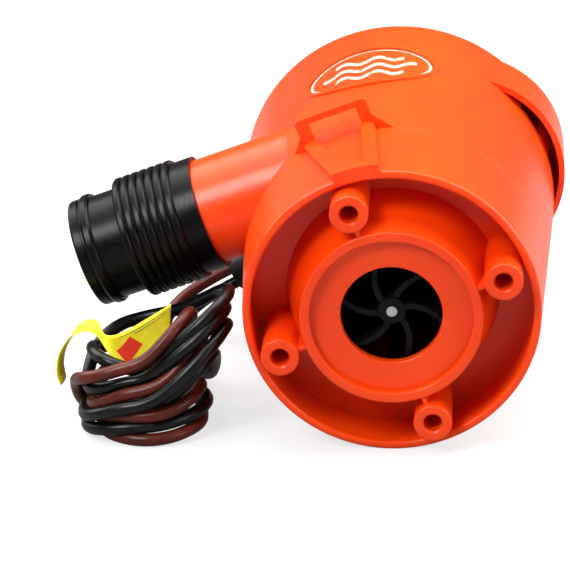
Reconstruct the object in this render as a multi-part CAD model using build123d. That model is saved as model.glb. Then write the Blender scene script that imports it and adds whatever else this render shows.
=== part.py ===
"""Small cartridge bilge pump with a hose adapter and a hank of supply wire, lying on its side.

Every piece is drawn in the pump's own frame and laid down at the end. In that frame Z runs along
the shaft, from the open rim (Z = 0) to the motor head, X is the way the outlet points and Y is the
way the latch strap faces. In the finished frame Z is up, the rim faces -Y and the outlet -X.
All sizes are in millimetres.
"""
from build123d import *
import math
import os

# ---- driving dimensions: housing skin -------------------------------------------------------
rim_radius = 32.0            # outside of the open rim
head_radius = 36.4           # outside of the motor head
head_plane = 85.0            # rim to the plane where the head has its full radius
cap_thickness = 3.0          # head cap above that plane
skirt_wall = 1.8             # wall of the open skirt
housing_wall = 2.2           # wall of the head chamber
parting_plane = 24.5         # joint between lower and upper housing

# ---- inlet cup, eye and screw bosses --------------------------------------------------------
cup_radius = 19.5            # outside of the inlet cup at its edge
cup_proud = 3.6              # cup edge beyond the rim plane
cup_draft = 12.0             # degrees, cup outside wall
cup_bore = 16.9
eye_plate_radius = 17.4
eye_plate_recess = 2.0       # cup edge to eye plate face
eye_plate_thickness = 2.0
eye_edge = 0.4               # rounding of the eye's outer edge
eye_radius = 10.88
edge_rounding = 0.4          # on the cup's and the bosses' outer edges
rim_rounding = 0.72          # on the rim's two edges
pocket_floor = 14.0          # floor of the gap between cup and skirt
floor_thickness = 2.5
boss_circle = 25.4           # radius that the screw bosses stand on
boss_radius = 4.15
boss_proud = 4.6             # boss tops beyond the rim plane
boss_hole = 2.0              # radius
boss_hole_depth = 12.0
boss_hole_chamfer = 0.35
boss_count = 4
web_thickness = 0.9
web_step = 0.4               # web below the cup's edge
web_bite = 0.5               # web into the cup and into the boss

# ---- volute, joint and outlet ---------------------------------------------------------------
volute_bore = 31.4           # radius of the upper housing's bore
spigot_length = 5.0
spigot_wall = 2.0
spigot_gap = 0.1
seal_section = 1.6           # width of the O-ring grooves
seal_depth = 1.0
outlet_offset = 22.3         # outlet axis from the shaft axis
outlet_plane = 38.4          # outlet axis above the rim plane
outlet_radius = 11.9
outlet_bore = 9.5
outlet_length = 52.0         # shaft axis to the end of the outlet tube
outlet_root = 9.0            # where the outlet bore opens into the volute
shoulder_edge = 12.8         # where the volute's flat shoulder stops short of the outlet
shoulder_top = 36.0          # height at which it meets the outlet tube's crest

# ---- hose adapter ---------------------------------------------------------------------------
adapter_start = 35.9         # shaft axis to the adapter's collar
adapter_end = 65.3
adapter_wall = 1.25
collar_radius = 12.9
collar_length = 4.6
rib_radius = 13.8
rib_root = 12.9
rib_pitch = 1.95
rib_count = 7
rib_foot = 0.42              # half a rib's foot, as a share of the pitch
rib_shoulder = 0.3           # share of a rib's depth that its flanks slope over
rib_sink = 0.2               # ribs start inside the sleeve's skin
nose_radius = 11.85
nose_bore = 8.6
nose_rib_radius = 12.7
nose_rib_width = 2.2
nose_rib_slope = 0.3
nose_rib_gap = 0.55          # lip to the nose rib
lip_radius = 12.2
lip_width = 2.1
lip_rounding = 0.525

# ---- latch strap, its rails and the label pad -----------------------------------------------
latch_turn = 0.5             # degrees from the Y axis towards the outlet
strap_half_width = 8.2
strap_top = 39.5
strap_thickness = 1.4
strap_rounding = 1.0
strap_leg = 2.6
strap_start = 25.0           # rim plane to the strap's near edge
strap_width = 3.4
rail_proud = 1.7
rail_width = 2.8
rail_foot_left = 0.8         # left rail's outside at the rim, from the strap's middle
rail_foot_right = -9.4
fin_reach = 3.6
fin_thickness = 1.2
label_turn = -9.5            # degrees from the Y axis towards the outlet
label_plane = 61.5
label_half_length = 15.4     # round the head
label_half_height = 11.0     # along the shaft
label_rim = 0.9
label_proud = 0.45
label_sink = 0.2             # rim of the label starts inside the skin

# ---- vent pocket opposite the outlet --------------------------------------------------------
pocket_turn = 4.0            # degrees from the -X axis towards Y
pocket_mouth = 68.0
pocket_reach = 39.3          # outermost point from the shaft axis
pocket_radius = 23.2
pocket_wall = 1.3
pocket_end_wall = 2.0
slot_angles = ((1.5, 14.5), (-20.0, -7.0))
slot_margin = 1.5            # slot ends from the pocket's mouth and end wall
slot_overcut = 0.6           # slots cut this much past the wall's outside

# ---- motor cup, lid and fasteners -----------------------------------------------------------
shelf_start = 49.0
shelf_top = 55.0
shelf_bore = 24.5
flange_thickness = 2.5
flange_gap = 0.2
cup_outer = 16.2             # motor cup
cup_inner = 14.3
cup_floor = 26.5
cup_floor_thickness = 3.0
cup_top = 74.0
lid_thickness = 3.0
lid_spigot = 2.0
face_seal_radius = 25.6      # inside of the flange's face seal
screw_circle = 29.6
screw_count = 4
screw_radius = 1.4
screw_head_radius = 2.6
screw_head_height = 2.0
screw_bite = 5.0
cross_width = 0.7
cross_depth = 1.0

# ---- motor ----------------------------------------------------------------------------------
shaft_radius = 1.15
shaft_start = 0.5
shaft_end = 71.5
running_gap = 0.03           # shaft in its bearings
can_radius = 13.85
can_wall = 1.0
can_start = 31.0
can_length = 37.8
bearing_radius = 3.5
bearing_length = 5.0
magnet_thickness = 2.45
magnet_start = 37.0
magnet_length = 22.0
magnet_angle = 66.0          # half the arc of each magnet, degrees
core_radius = 9.6
core_start = 39.5
core_length = 17.0
pole_count = 5
pole_neck = 3.0
pole_shoe = 1.4
hub_radius = 3.4
slot_opening = 1.6
winding_radius = 8.6
winding_overhang = 3.2
sleeve_radius = 1.9
commutator_radius = 3.0
commutator_gap = 1.2         # above the windings
commutator_length = 4.2
end_cap_thickness = 2.0
end_cap_spigot = 1.5
brush_length = 2.6
brush_width = 2.2
brush_height = 2.6
brush_gap = 0.04
arm_thickness = 0.4
arm_width = 3.0
terminal_height = 3.2        # brush arm above the end cap
grommet_radius = 3.8
grommet_head = 0.9           # grommet's head beyond its neck
grommet_reach = 7.5          # shaft axis to the lead grommet in the lid
grommet_proud = 1.2
lid_seal_section = 1.2
lid_seal_depth = 0.8
cushion_inner = 8.4
cushion_outer = 13.4
washer_radius = 2.6
washer_thickness = 0.5
seal_radius = 5.0

# ---- impeller -------------------------------------------------------------------------------
impeller_start = 0.9
impeller_end = 25.5
impeller_tip_radius = 16.2
impeller_nose_radius = 2.9
impeller_back_radius = 13.0
vane_count = 6
vane_thickness = 1.3
vane_sweep = 55.0            # degrees from eye to tip
vane_top = 21.0
vane_stations = 6
vane_start = 0.6             # vanes begin behind the hub's nose
hub_outline = ((0.3, 3.7), (0.7, 7.8))   # share of the hub's length, radius
hub_rim = 1.5                # straight rim at the hub's back

# ---- gland, supply wires, hank and tag ------------------------------------------------------
gland_plane = 74.5
gland_turn = 8.0             # degrees below the outlet's direction
gland_radius = 4.6
gland_flange_radius = 6.2
gland_flange = 1.4
gland_tip_radius = 3.9
gland_reach = 8.0            # beyond the skin
gland_inside = 3.0           # inside the skin
wire_radius = 1.45
wire_spread = 3.6            # between the two wires' centres
hank_middle = (-35.5, -25.0)  # on the ground, in the finished frame
hank_length = 33.0           # along X
hank_width = 30.0
hank_corner = 12.0
hank_left_height = 20.5
hank_right_height = 29.0
hank_rise = (-41.0, -24.0)   # X where its top starts and stops rising
eye_middle = (-38.5, -25.5)  # open middle of the hank
eye_length = 18.0
eye_width = 9.0
bare_length = 7.0
bare_strand_radius = 0.85
tip_bite = 0.5               # bare ends begin inside the hank's outer face
tip_starts = ((-49.5, -14.7, 1.45), (-44.5, -11.0, 14.0))    # brown, black; in the finished frame
lead_rise = ((1.6, 3.6), (11.0, 3.2))    # the inner leads beyond the grommet: outwards, upwards
lead_landing = (5.6, 0.6)    # the inner leads before the gland: inwards, upwards
tag_thickness = 0.5
tag_face = -26.8             # Y of the main leaf's front
tag_left = -52.5             # X of the outer leaf's inner face
tag_bridge = 20.8            # Z of the bridge over the hank's left side
tag_outer_low = 9.0          # Z of the outer leaf's lower end
tag_outer_width = 6.0
tag_leaf = ((-46.3, 19.2), (-42.5, 14.7), (-38.1, 15.2), (-31.8, 21.5), (-30.9, 28.9), (-46.3, 20.8))  # X, Z
tag_overlap = 0.3            # bridge over the main leaf's left end

# ---- how the pump lies ----------------------------------------------------------------------
roll = 20.0                  # outlet this many degrees below level


# ---- small builders -------------------------------------------------------------------------
LOW = (Align.CENTER, Align.CENTER, Align.MIN)


def skin(z):
    """Outside radius of the housing's cone at height z."""
    return rim_radius + (head_radius - rim_radius) * z / head_plane


def turned(points):
    """Solid of revolution about Z from (radius, height) points."""
    return revolve(Plane.XZ * Polygon(*points, align=None), Axis.Z)


def ring(inner, outer, start, end):
    """Plain ring about Z."""
    return turned([(inner, start), (outer, start), (outer, end), (inner, end)])


def disc(radius, start, end, at=(0.0, 0.0)):
    """Plain cylinder along Z."""
    return Pos(at[0], at[1], start) * Cylinder(radius, end - start, align=LOW)


def block(x_range, y_range, z_range):
    """Box from its three ranges."""
    size = [high - low for low, high in (x_range, y_range, z_range)]
    middle = [(high + low) / 2 for low, high in (x_range, y_range, z_range)]
    return Pos(*middle) * Box(*size)


def around(count, start=0.0):
    """Equally spaced angles in degrees."""
    return [start + index * 360.0 / count for index in range(count)]


def along_outlet(shape):
    """Moves a shape drawn about Z so that its axis is the outlet's, pointing along X."""
    return Pos(0, outlet_offset, outlet_plane) * Rot(0, 90, 0) * shape


def prism(outline, height):
    """Flat outline in X and Y, made solid upwards."""
    return extrude(outline, height, dir=(0, 0, 1))


def plate_in_xz(points, low, high):
    """Flat plate whose outline is drawn in X and Z and whose thickness runs in Y."""
    outline = Plane.XZ.offset(-low) * Polygon(*points, align=None)
    return extrude(outline, high - low, dir=(0, 1, 0))


def screw(length, head_radius_, head_height):
    """Cross-recess screw: its head stands on Z = 0 and its thread runs down."""
    body = disc(head_radius_, 0, head_height) + disc(screw_radius, -length, 0)
    top = head_height - cross_depth
    arm = head_radius_ * 0.6
    for turn in (0, 90):
        body -= Rot(0, 0, turn) * block((-arm, arm), (-cross_width / 2, cross_width / 2), (top, head_height))
    return body


# ---- lower housing --------------------------------------------------------------------------
floor_top = pocket_floor + floor_thickness
spigot_outer = volute_bore - spigot_gap
spigot_inner = spigot_outer - spigot_wall
groove_start = parting_plane + spigot_length / 2 - seal_section / 2
groove_root = spigot_outer - seal_depth
eye_plate_face = -cup_proud + eye_plate_recess
eye_plate_back = eye_plate_face + eye_plate_thickness
boss_angles = around(boss_count)


def skin_cone(start, end, grow=0.0):
    """Solid housing cone between two heights, larger all round by grow."""
    return turned([(0, start), (skin(start) + grow, start), (skin(end) + grow, end), (0, end)])


def make_rails():
    """Two low rails and a sill on the skirt, which lead a latch from the rim to the strap."""
    outside = [(rail_foot_left, 0), (strap_half_width, parting_plane),
               (-strap_half_width, parting_plane), (rail_foot_right, 0)]
    inside = [(rail_foot_left - rail_width, rail_width), (strap_half_width - rail_width, parting_plane),
              (-strap_half_width + rail_width, parting_plane), (rail_foot_right + rail_width, rail_width)]
    reach = skin(parting_plane) + rail_proud
    frame = plate_in_xz(outside, 0, reach) - plate_in_xz(inside, 0, reach)
    return Rot(0, 0, -latch_turn) * frame & skin_cone(0, parting_plane, rail_proud)


def make_shoulder():
    """Flat on the volute's flank that grows out of the rim and runs up to the outlet tube's crest."""
    low = math.sqrt(rim_radius ** 2 - shoulder_edge ** 2)
    crest = outlet_offset + outlet_radius
    side = Plane.YZ * Polygon((0, 0), (low, 0), (crest, shoulder_top), (0, shoulder_top), align=None)
    return extrude(side, shoulder_edge, dir=(1, 0, 0))


def make_volute_base():
    cup_foot = cup_radius + (pocket_floor + cup_proud) * math.tan(math.radians(cup_draft))
    body = turned([
        (eye_plate_radius, -cup_proud), (cup_radius, -cup_proud), (cup_foot, pocket_floor),
        (skin(pocket_floor) - skirt_wall, pocket_floor), (rim_radius - skirt_wall, 0), (rim_radius, 0),
        (skin(parting_plane), parting_plane), (spigot_outer, parting_plane),
        (spigot_outer, groove_start), (groove_root, groove_start),
        (groove_root, groove_start + seal_section), (spigot_outer, groove_start + seal_section),
        (spigot_outer, parting_plane + spigot_length), (spigot_inner, parting_plane + spigot_length),
        (spigot_inner, floor_top), (cup_bore, floor_top), (cup_bore, eye_plate_back),
        (eye_plate_radius, eye_plate_back),
    ])
    rim_edges = body.edges().filter_by(GeomType.CIRCLE).filter_by(lambda edge: abs(edge.center().Z) < 0.01)
    body = fillet(rim_edges, rim_rounding)
    cup_edges = body.edges().filter_by(GeomType.CIRCLE).group_by(Axis.Z)[0]
    body = fillet(cup_edges, edge_rounding)
    below = disc(2 * rim_radius, 0, parting_plane)
    body += make_rails() - skin_cone(0, parting_plane, -skirt_wall / 2)
    body += (make_shoulder() & below) - skin_cone(0, parting_plane, -skirt_wall / 2)
    for angle in boss_angles:
        turn = Rot(0, 0, angle)
        boss = disc(boss_radius, -boss_proud, pocket_floor + floor_thickness / 2, (boss_circle, 0))
        boss = fillet(boss.edges().group_by(Axis.Z)[0], edge_rounding)
        web = block((cup_radius - web_bite, boss_circle - boss_radius + web_bite),
                    (-web_thickness / 2, web_thickness / 2), (-cup_proud + web_step, pocket_floor + 1))
        hole = disc(boss_hole, -boss_proud, -boss_proud + boss_hole_depth, (boss_circle, 0))
        mouth = Cone(boss_hole + boss_hole_chamfer, boss_hole, boss_hole_chamfer, align=LOW)
        hole += Pos(boss_circle, 0, -boss_proud) * mouth
        body = body + turn * boss + turn * web - turn * hole
    return body


# ---- upper housing --------------------------------------------------------------------------
chamber_radius = skin(shelf_top) - housing_wall
flange_radius = chamber_radius - flange_gap
cap_spigot_start = head_plane - 4.0
cap_spigot_radius = skin(cap_spigot_start) - housing_wall - spigot_gap


def make_strap():
    """Arch that a latch hooks under, with a fin at each foot."""
    end = strap_start + strap_width
    outer = block((-strap_half_width, strap_half_width), (0, strap_top), (strap_start, end))
    inner = block((-strap_half_width + strap_leg, strap_half_width - strap_leg),
                  (0, strap_top - strap_thickness), (strap_start, end))
    arch = outer - inner
    corners = arch.edges().filter_by(Axis.Z).group_by(Axis.Y)[-1]
    arch = fillet(corners, strap_rounding)
    low = skin(strap_start) - housing_wall / 2
    for side in (-1, 1):
        foot = side * strap_half_width
        fin = Polygon((foot, low - fin_reach), (foot, low + fin_reach), (foot + side * fin_reach, low - 1),
                      (foot + side * fin_reach, low - fin_reach), align=None)
        arch += Pos(0, 0, parting_plane) * prism(fin, fin_thickness)
    return Rot(0, 0, -latch_turn) * arch


def make_pocket():
    """Bulged band round the head, open towards the rim, with its end wall at the head."""
    middle = -(pocket_reach - pocket_radius)
    outer = disc(pocket_radius, pocket_mouth, head_plane, (middle, 0))
    inner = disc(pocket_radius - pocket_wall, pocket_mouth, head_plane - pocket_end_wall, (middle, 0))
    side = block((-pocket_reach, 0), (-head_radius, head_radius), (pocket_mouth, head_plane))
    return Rot(0, 0, -pocket_turn) * ((outer & side) - inner)


def make_vent_slots():
    """Windows from the pocket through the head's wall."""
    low, high = pocket_mouth + slot_margin, head_plane - pocket_end_wall - slot_margin
    shell = ring(chamber_radius - housing_wall, skin(head_plane) + slot_overcut, low, high)
    slots = []
    for first, last in slot_angles:
        reach = 1.3 * head_radius
        corners = [(0, 0)] + [(-reach * math.cos(math.radians(a)), reach * math.sin(math.radians(a)))
                              for a in (first, last)]
        sector = Pos(0, 0, low) * prism(Polygon(*corners, align=None), high - low)
        slots.append(Rot(0, 0, -pocket_turn) * (sector & shell))
    return slots


def make_label_pad():
    """Plain raised oval rim with a blank middle, wrapped on the head."""
    reach = head_radius + 5
    def oval(grow):
        outline = Plane.XZ * Ellipse(label_half_length + grow, label_half_height + grow)
        return Pos(0, 0, label_plane) * extrude(outline, reach, dir=(0, 1, 0))
    low, high = label_plane - 2 * label_half_height, label_plane + 2 * label_half_height
    band = skin_cone(low, high, label_proud) - skin_cone(low, high, -label_sink)
    return Rot(0, 0, -label_turn) * (band & (oval(0) - oval(-label_rim)))


def make_pump_body():
    body = turned([
        (volute_bore, parting_plane), (skin(parting_plane), parting_plane), (skin(head_plane), head_plane),
        (skin(head_plane) - housing_wall, head_plane), (chamber_radius, shelf_top),
        (shelf_bore, shelf_top), (shelf_bore, shelf_start), (volute_bore, shelf_start),
    ])
    solid_inside = skin_cone(parting_plane, head_plane, -0.4)
    tube = along_outlet(disc(outlet_radius, outlet_root, outlet_length))
    body += tube - skin_cone(parting_plane, head_plane, -housing_wall / 2)
    body += make_strap() - solid_inside
    body += (make_shoulder() & disc(2 * rim_radius, parting_plane, shoulder_top)) - solid_inside
    body += make_pocket() - solid_inside
    body += make_label_pad()
    body -= along_outlet(disc(outlet_bore, outlet_root, outlet_length)) - disc(cup_outer, 0, head_plane)
    for slot in make_vent_slots():
        body -= slot
    for angle in around(screw_count, 45):
        pilot = disc(screw_radius, shelf_top - screw_bite, shelf_top, (screw_circle, 0))
        body -= Rot(0, 0, angle) * pilot
    body -= in_gland(disc(gland_radius, 0, 2 * head_radius))
    return body


def in_gland(shape):
    """Moves a shape drawn about Z so that its axis is the wire gland's, pointing outwards."""
    return Rot(0, 0, -gland_turn) * Pos(0, 0, gland_plane) * Rot(0, 90, 0) * shape


def make_head_cap():
    top = head_plane + cap_thickness
    cap = turned([(0, head_plane), (skin(head_plane), head_plane), (skin(head_plane), top), (0, top)])
    cap = fillet(cap.edges().group_by(Axis.Z)[-1], cap_thickness * 0.8)
    spigot = ring(cap_spigot_radius - spigot_wall, cap_spigot_radius, cap_spigot_start, head_plane)
    return cap + spigot


# ---- hose adapter ---------------------------------------------------------------------------
def rib(foot, edge, crest, middle, half):
    """Ring with sloping shoulders round Z."""
    return turned([(foot, middle - half), (edge, middle - half), (crest, middle - half / 2),
                   (crest, middle + half / 2), (edge, middle + half), (foot, middle + half)])


def make_hose_adapter():
    """Rubber sleeve with a collar, hose ribs, a smaller nose, one rib and an end lip."""
    grip_end = adapter_start + collar_length + rib_count * rib_pitch
    tube_bore = outlet_radius
    step = outlet_length
    body = turned([
        (tube_bore, adapter_start), (collar_radius, adapter_start),
        (collar_radius, adapter_start + collar_length),
        (rib_root, adapter_start + collar_length), (rib_root, grip_end), (nose_radius, grip_end),
        (nose_radius, adapter_end - lip_width), (lip_radius, adapter_end - lip_width),
        (lip_radius, adapter_end),
        (nose_bore, adapter_end), (nose_bore, step), (tube_bore, step),
    ])
    lip = body.edges().filter_by(GeomType.CIRCLE).group_by(Axis.Z)[-1]
    body = fillet(lip, lip_rounding)
    rib_edge = rib_radius - (rib_radius - rib_root) * rib_shoulder
    for index in range(rib_count):
        middle = adapter_start + collar_length + (index + 0.5) * rib_pitch
        half = rib_pitch * rib_foot
        body += rib(rib_root - rib_sink, rib_edge, rib_radius, middle, half)
    half = nose_rib_width / 2
    nose_middle = adapter_end - lip_width - nose_rib_gap - half
    body += rib(nose_radius - rib_sink, nose_rib_radius - nose_rib_slope, nose_rib_radius, nose_middle, half)
    return along_outlet(body)


# ---- inlet eye, impeller and seals ----------------------------------------------------------
def make_eye_plate():
    plate = ring(eye_radius, eye_plate_radius, eye_plate_face, eye_plate_back)
    edge = plate.edges().filter_by(GeomType.CIRCLE).group_by(Axis.Z)[0].sort_by(SortBy.RADIUS)[0]
    return fillet(edge, eye_edge)


def make_impeller():
    """Mixed-flow impeller: a cone hub on the shaft with swept vanes that fill the cup's bore."""
    length = impeller_end - impeller_start
    flank = [(radius, impeller_start + length * share) for share, radius in hub_outline]
    hub = turned([(shaft_radius, impeller_start), (impeller_nose_radius, impeller_start), *flank,
                  (impeller_back_radius, impeller_end - hub_rim), (impeller_back_radius, impeller_end),
                  (shaft_radius, impeller_end)])
    envelope = ring(shaft_radius + 0.5, impeller_tip_radius, impeller_start + vane_start, vane_top)
    start_radius = impeller_nose_radius - 1
    def edge(shift):
        points = []
        for index in range(vane_stations + 1):
            part = index / vane_stations
            radius = start_radius + (impeller_tip_radius + 1 - start_radius) * part
            angle = math.radians(vane_sweep * part)
            x, y = radius * math.cos(angle), radius * math.sin(angle)
            points.append((x - shift * math.sin(angle), y + shift * math.cos(angle)))
        return points
    low_edge, high_edge = edge(-vane_thickness / 2), edge(vane_thickness / 2)
    outline = Polygon(*low_edge, *reversed(high_edge), align=None)
    vane = (Pos(0, 0, impeller_start) * prism(outline, vane_top - impeller_start)) & envelope
    for angle in around(vane_count):
        hub += Rot(0, 0, angle) * vane
    return hub


def make_shaft_seal():
    """Lip seal: a case in the cup floor with a lip that just touches the shaft."""
    top = cup_floor + cup_floor_thickness
    return turned([(shaft_radius + 0.9, cup_floor), (seal_radius, cup_floor), (seal_radius, top),
                   (shaft_radius + 1.6, top), (shaft_radius + 1.6, cup_floor + 1.4),
                   (shaft_radius + running_gap, cup_floor + 1.0),
                   (shaft_radius + running_gap, cup_floor + 0.6)])


# ---- motor cup and lid ----------------------------------------------------------------------
flange_top = shelf_top + flange_thickness
lid_top = cup_top + lid_thickness


def in_lead_plane(shape):
    """Turns a shape drawn over the X axis to the gland's side."""
    return Rot(0, 0, -gland_turn) * shape


def make_motor_cup():
    cup_floor_top = cup_floor + cup_floor_thickness
    cup = turned([
        (seal_radius, cup_floor), (cup_outer, cup_floor), (cup_outer, shelf_top), (flange_radius, shelf_top),
        (flange_radius, flange_top), (cup_outer, flange_top), (cup_outer, cup_top), (cup_inner, cup_top),
        (cup_inner, cup_floor_top), (seal_radius, cup_floor_top),
    ])
    cup -= ring(face_seal_radius, face_seal_radius + seal_section, shelf_top, shelf_top + seal_depth)
    for angle in around(screw_count, 45):
        cup -= Rot(0, 0, angle) * disc(screw_radius, shelf_top, flange_top, (screw_circle, 0))
    return cup


def make_motor_lid():
    lid = disc(cup_outer, cup_top, lid_top) + disc(cup_inner, cup_top - lid_spigot, cup_top)
    inside = cushion_inner
    lid -= disc(inside, cup_top - lid_spigot, cup_top + lid_thickness / 3)
    groove = cup_top - lid_spigot / 2 - lid_seal_section / 2
    lid -= ring(cup_inner - lid_seal_depth, cup_inner, groove, groove + lid_seal_section)
    lid -= in_lead_plane(disc(grommet_radius, cup_top, lid_top, (grommet_reach, 0)))
    return fillet(lid.edges().filter_by(GeomType.CIRCLE).group_by(Axis.Z)[-1].sort_by(SortBy.RADIUS)[-1], 0.6)


def make_lid_oring():
    groove = cup_top - lid_spigot / 2 - lid_seal_section / 2
    return ring(cup_inner - lid_seal_depth, cup_inner, groove, groove + lid_seal_section)


def make_cup_screws():
    place = screw(screw_bite + flange_thickness, screw_head_radius, screw_head_height)
    return [Rot(0, 0, angle) * Pos(screw_circle, 0, flange_top) * place for angle in around(screw_count, 45)]


# ---- motor ----------------------------------------------------------------------------------
can_end = can_start + can_length
can_inner = can_radius - can_wall
bearing_start = can_start - 1.2
cap_top = can_end + end_cap_thickness
rear_bearing_start = cap_top - bearing_length + 1.0
core_end = core_start + core_length
winding_start = core_start - winding_overhang
winding_end = core_end + winding_overhang
commutator_start = winding_end + commutator_gap
brush_start = commutator_start + (commutator_length - brush_height) / 2
brush_inner = commutator_radius + brush_gap
arm_inner = brush_inner + brush_length


def make_motor_can():
    return turned([(bearing_radius, can_start), (can_radius, can_start), (can_radius, can_end),
                   (can_inner, can_end), (can_inner, can_start + can_wall),
                   (bearing_radius, can_start + can_wall)])


def make_magnet(turn):
    shell = ring(can_inner - magnet_thickness, can_inner, magnet_start, magnet_start + magnet_length)
    reach = can_radius * 3
    half = math.radians(magnet_angle)
    wedge = Polygon((0, 0), (reach * math.cos(half), -reach * math.sin(half)),
                    (reach * math.cos(half), reach * math.sin(half)), align=None)
    return Rot(0, 0, turn) * (shell & (Pos(0, 0, magnet_start) * prism(wedge, magnet_length)))


def make_bearing(start):
    return ring(shaft_radius + running_gap, bearing_radius, start, start + bearing_length)


def pole_outline():
    """Cross-section of the laminations: a hub, one neck per pole and a shoe on each neck."""
    outline = Circle(hub_radius)
    for angle in around(pole_count):
        outline += Rot(0, 0, angle) * Pos(core_radius / 2, 0) * Rectangle(core_radius, pole_neck)
    shoe_ring = Circle(core_radius) - Circle(core_radius - pole_shoe)
    for angle in around(pole_count, 180.0 / pole_count):
        shoe_ring -= Rot(0, 0, angle) * Pos(core_radius, 0) * Rectangle(2 * pole_shoe + 2, slot_opening)
    outline += shoe_ring
    return (outline & Circle(core_radius)) - Circle(shaft_radius)


def make_armature_core():
    return Pos(0, 0, core_start) * prism(pole_outline(), core_length)


def make_armature_windings(core):
    return ring(hub_radius, winding_radius - pole_shoe, winding_start, winding_end) - core


def make_commutator_sleeve():
    return ring(shaft_radius, sleeve_radius, commutator_start, commutator_start + commutator_length)


def make_commutator_segments():
    band = ring(sleeve_radius, commutator_radius, commutator_start, commutator_start + commutator_length)
    for angle in around(pole_count):
        cut = block((0, 2 * commutator_radius), (-0.2, 0.2),
                    (commutator_start, commutator_start + commutator_length))
        band -= Rot(0, 0, angle) * cut
    return band.solids()


def make_motor_end_cap():
    cap = disc(can_radius, can_end, cap_top) + disc(can_inner, can_end - end_cap_spigot, can_end)
    cap -= disc(bearing_radius, can_end - end_cap_spigot, cap_top)
    for side in (-1, 1):
        slot_middle = side * (arm_inner + arm_thickness / 2)
        cap -= block((slot_middle - arm_thickness / 2, slot_middle + arm_thickness / 2),
                     (-arm_width / 2, arm_width / 2), (can_end - end_cap_spigot, cap_top))
    return cap


def make_brush(side):
    ends = sorted((side * brush_inner, side * arm_inner))
    return block(ends, (-brush_width / 2, brush_width / 2), (brush_start, brush_start + brush_height))


def make_brush_arm(side):
    ends = sorted((side * arm_inner, side * (arm_inner + arm_thickness)))
    return block(ends, (-arm_width / 2, arm_width / 2), (brush_start, cap_top + terminal_height))


def make_thrust_washers():
    inner = shaft_radius
    front = bearing_start + bearing_length
    rear = rear_bearing_start
    return [ring(inner, washer_radius, front + 0.15, front + 0.15 + washer_thickness),
            ring(inner, washer_radius, rear - 0.15 - washer_thickness, rear - 0.15)]


# ---- wire gland and inner leads -------------------------------------------------------------
gland_skin = skin(gland_plane)
gland_tip = gland_skin + gland_reach
gland_root = gland_skin - housing_wall - gland_inside


def wire_ports(shape, low, high, radius):
    """Cuts the two wire bores out of a shape drawn about Z."""
    for side in (-1, 1):
        shape -= disc(radius, low, high, (0, side * wire_spread / 2))
    return shape


def make_cable_gland():
    inner_face = gland_skin - housing_wall - 0.4
    head = gland_radius + 1.0
    sleeve = turned([(0, gland_root), (head, gland_root), (head, inner_face - 0.4),
                     (gland_radius, inner_face - 0.4), (gland_radius, gland_skin + 0.5),
                     (gland_flange_radius, gland_skin + 0.5),
                     (gland_flange_radius, gland_skin + gland_flange),
                     (gland_radius, gland_skin + gland_flange + 0.8),
                     (gland_tip_radius, gland_tip), (0, gland_tip)])
    return in_gland(wire_ports(sleeve, gland_root, gland_tip, wire_radius))


def make_lead_grommet():
    low, high = cup_top + lid_thickness / 3, lid_top + grommet_proud
    spot = (grommet_reach, 0)
    bush = disc(grommet_radius, low, lid_top, spot) + disc(grommet_radius + grommet_head, lid_top, high, spot)
    for side in (-1, 1):
        bush -= disc(wire_radius, low, high, (grommet_reach, side * wire_spread / 2))
    return in_lead_plane(bush)


def tube_along(points, radii, radius):
    """Round tube along straight runs joined by arcs."""
    path = FilletPolyline(*points, radius=radii)
    start = path @ 0
    section = Plane(origin=start, z_dir=path % 0) * Circle(radius)
    return sweep(section, path=path), path.length


def corner_radii(points):
    """Radius at each corner: as large as the two runs that meet there allow."""
    spots = [Vector(*point) for point in points]
    radii = []
    for before, at, after in zip(spots, spots[1:], spots[2:]):
        turn = (at - before).get_angle(after - at)
        shorter = min((at - before).length, (after - at).length)
        radii.append(0.45 * shorter / math.tan(math.radians(turn) / 2))
    return radii


def make_inner_lead(side):
    """Lead from the lid's grommet, over the lid's edge and down to the gland, inside the dry head."""
    offset = side * wire_spread / 2
    start = lid_top + grommet_proud
    points = [(grommet_reach, offset, start)]
    points += [(grommet_reach + out, offset, start + up) for out, up in lead_rise]
    points += [(gland_root - lead_landing[0], offset, gland_plane + lead_landing[1]),
               (gland_root, offset, gland_plane)]
    tube, _ = tube_along([Vector(*point) for point in points], corner_radii(points), wire_radius)
    return in_lead_plane(tube)


# ---- lay the pump down ----------------------------------------------------------------------
lean = math.degrees(math.atan2(head_radius - rim_radius, head_plane))
TO_SIDE = Location(Plane(origin=(0, 0, 0), x_dir=(-1, 0, 0), z_dir=(0, 1, 0)))
STAND = Pos(0, 0, rim_radius * math.cos(math.radians(lean))) * Rot(lean, 0, 0) * TO_SIDE * Rot(0, 0, -roll)


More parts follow.
